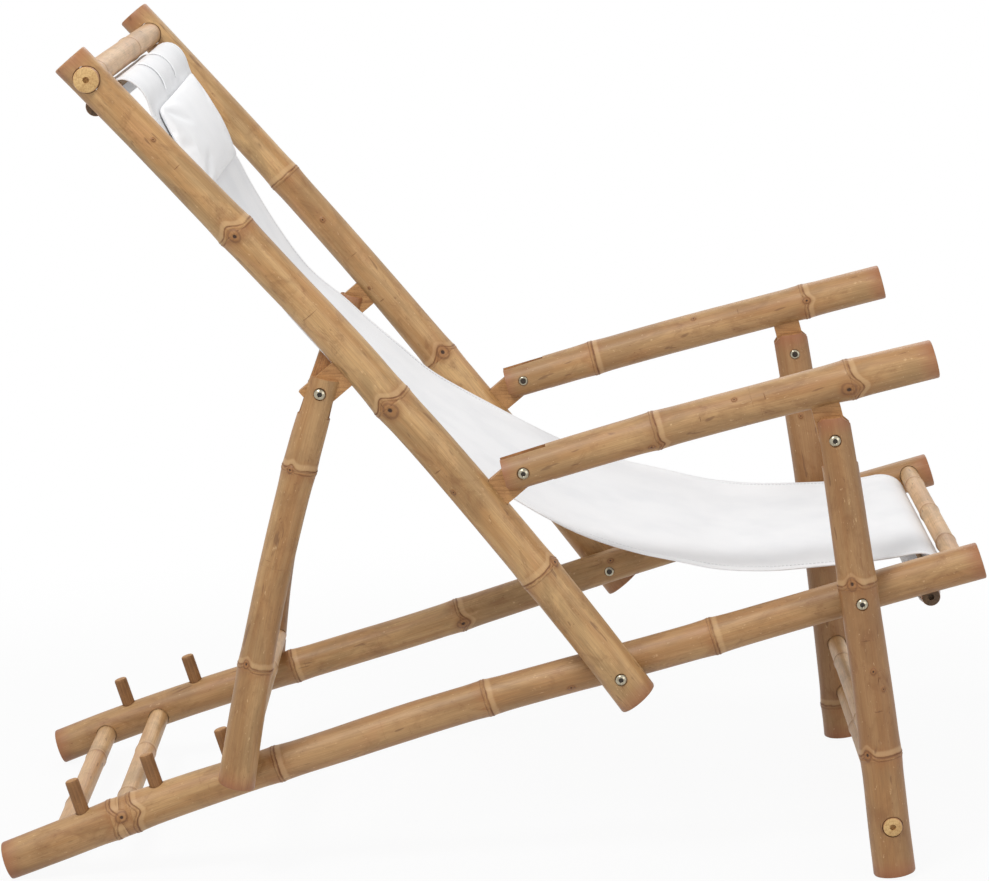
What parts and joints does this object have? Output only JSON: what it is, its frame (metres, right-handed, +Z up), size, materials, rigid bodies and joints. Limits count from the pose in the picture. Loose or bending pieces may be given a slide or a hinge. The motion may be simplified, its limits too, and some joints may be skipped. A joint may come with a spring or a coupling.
{
  "type": "bamboo folding recliner",
  "caption": "Folding sling recliner with a noded bamboo frame, flat armrests, a prop that rests on pegs, a canvas seat and a tied headrest pillow.",
  "frame": {"origin": "centre of the bounding box's footprint, on the floor", "axes": "+X towards the foot end, +Y to the sitter's left, +Z up"},
  "size_m": [1.0572, 0.664, 0.9008],
  "materials": {
    "bamboo_cane": "lacquered bamboo with brown node rings",
    "bamboo_bar": "lacquered thin bamboo, a little paler than the poles",
    "hardwood_peg": "reddish turned wood",
    "wood_tongue": "sanded wood insert",
    "canvas": "plain white cotton canvas",
    "pillow_cover": "plain white cotton pillow cover",
    "cotton_tape": "white cotton tape",
    "steel_bolt": "polished domed head with a socket",
    "steel_nut": "polished cap nut"
  },
  "bodies": {
    "base_frame": {"rail_right": "bamboo_cane", "rail_left": "bamboo_cane", "rear_rung_1": "bamboo_bar", "rear_rung_2": "bamboo_bar", "front_crossbar": "bamboo_bar", "canvas_front_rod": "bamboo_bar", "peg_1_right": "hardwood_peg", "peg_2_right": "hardwood_peg", "peg_3_right": "hardwood_peg", "peg_1_left": "hardwood_peg", "peg_2_left": "hardwood_peg", "peg_3_left": "hardwood_peg", "canvas_seat": "canvas", "canvas_bend": "canvas", "back_pivot_bolt_right": "steel_bolt", "back_pivot_nut_right": "steel_nut", "back_pivot_bolt_left": "steel_bolt", "back_pivot_nut_left": "steel_nut", "leg_pivot_bolt_right": "steel_bolt", "leg_pivot_nut_right": "steel_nut", "leg_pivot_bolt_left": "steel_bolt", "leg_pivot_nut_left": "steel_nut"},
    "back_frame": {"back_pole_right": "bamboo_cane", "back_pole_left": "bamboo_cane", "top_crossbar": "bamboo_bar", "canvas_top_rod": "bamboo_bar", "arm_tongue_right": "wood_tongue", "arm_tongue_left": "wood_tongue", "prop_tongue_right": "wood_tongue", "prop_tongue_left": "wood_tongue", "canvas_back": "canvas", "headrest_pillow": "pillow_cover", "headrest_tape_right": "cotton_tape", "headrest_tape_left": "cotton_tape"},
    "arm_right": {"armrest_right": "bamboo_cane", "leg_tongue_right": "wood_tongue", "arm_pivot_bolt_right": "steel_bolt", "arm_pivot_nut_right": "steel_nut"},
    "arm_left": {"armrest_left": "bamboo_cane", "leg_tongue_left": "wood_tongue", "arm_pivot_bolt_left": "steel_bolt", "arm_pivot_nut_left": "steel_nut"},
    "leg_frame": {"leg_right": "bamboo_cane", "leg_left": "bamboo_cane", "leg_rung_low": "bamboo_bar", "leg_rung_high": "bamboo_bar", "leg_top_bolt_right": "steel_bolt", "leg_top_nut_right": "steel_nut", "leg_top_bolt_left": "steel_bolt", "leg_top_nut_left": "steel_nut"},
    "prop_frame": {"prop_strut_right": "bamboo_cane", "prop_strut_left": "bamboo_cane", "prop_rung": "bamboo_bar", "prop_pivot_bolt_right": "steel_bolt", "prop_pivot_nut_right": "steel_nut", "prop_pivot_bolt_left": "steel_bolt", "prop_pivot_nut_left": "steel_nut"}
  },
  "joints": [
    {"name": "back_raise", "type": "hinge", "parent": "base_frame", "child": "back_frame", "pos_m": [0.14071, 0, 0.22285], "axis": [0, 1, 0], "range_deg": [0, 18], "deforming": ["canvas_bend"]},
    {"name": "leg_fold", "type": "hinge", "parent": "base_frame", "child": "leg_frame", "pos_m": [0.39345, 0, 0.29916], "axis": [0, 1, 0], "range_deg": [0, 24.6]},
    {"name": "arm_right_pivot", "type": "hinge", "parent": "back_frame", "child": "arm_right", "pos_m": [0.04293, -0.287, 0.4468], "axis": [0, 1, 0], "range_deg": [-14.1, 0]},
    {"name": "arm_left_pivot", "type": "hinge", "parent": "back_frame", "child": "arm_left", "pos_m": [0.04293, 0.287, 0.4468], "axis": [0, 1, 0], "range_deg": [-14.1, 0]},
    {"name": "prop_swing", "type": "hinge", "parent": "back_frame", "child": "prop_frame", "pos_m": [-0.16485, 0, 0.53536], "axis": [0, 1, 0], "range_deg": [-31.8, 0]}
  ],
  "couplings": [
    {"joint": "leg_fold", "follows": "back_raise", "ratio": 1.36},
    {"joint": "arm_right_pivot", "follows": "back_raise", "ratio": -0.775},
    {"joint": "arm_left_pivot", "follows": "back_raise", "ratio": -0.775},
    {"joint": "prop_swing", "follows": "back_raise", "ratio": -1.76}
  ]
}
